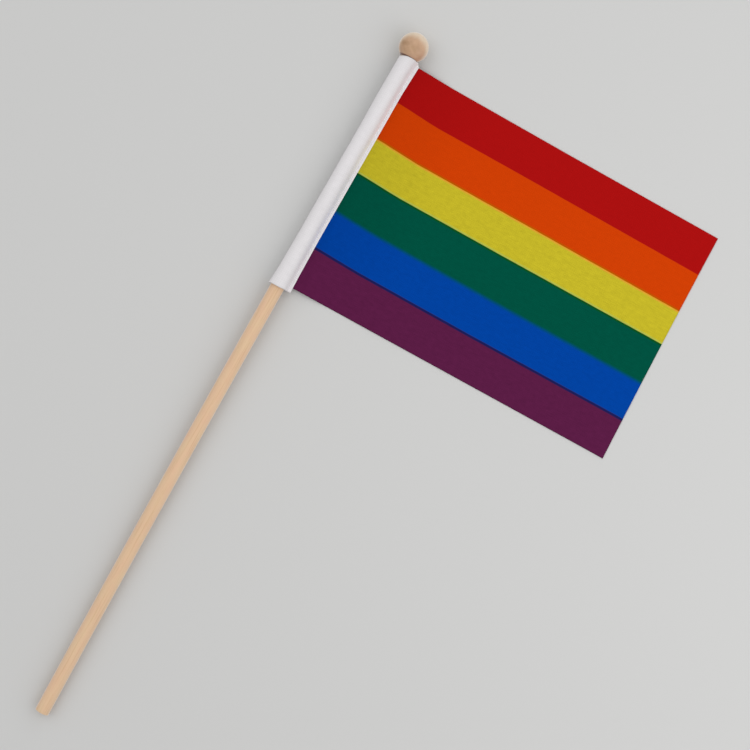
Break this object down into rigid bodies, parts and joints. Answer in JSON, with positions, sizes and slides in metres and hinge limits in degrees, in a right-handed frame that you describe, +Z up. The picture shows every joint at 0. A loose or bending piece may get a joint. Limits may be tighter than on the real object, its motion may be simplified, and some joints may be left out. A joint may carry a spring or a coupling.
{
  "type": "hand-held stick flag with a wooden stick",
  "caption": "Small rainbow-striped cloth flag in a white sleeve on a round wooden stick with a ball on its end, lying flat.",
  "frame": {"origin": "on the surface that the flag lies on, under the middle of the whole flag's box", "axes": "+Y up the stick from its butt end to the ball, +X across the cloth from the stick to the fly, +Z up from the surface"},
  "size_m": [0.1518, 0.309, 0.0119],
  "materials": {
    "birch_dowel": "bare sanded birch dowel with fine grain along its length",
    "turned_ball": "bare turned hardwood ball with mottled grain",
    "white_sleeve": "unprinted white plain-weave polyester",
    "printed_cloth": "plain-weave polyester printed in six even stripes: red, orange, yellow, green, blue and purple"
  },
  "bodies": {
    "root": {"dowel": "birch_dowel", "ball": "turned_ball", "sleeve": "white_sleeve", "flag_cloth": "printed_cloth"}
  },
  "joints": []
}
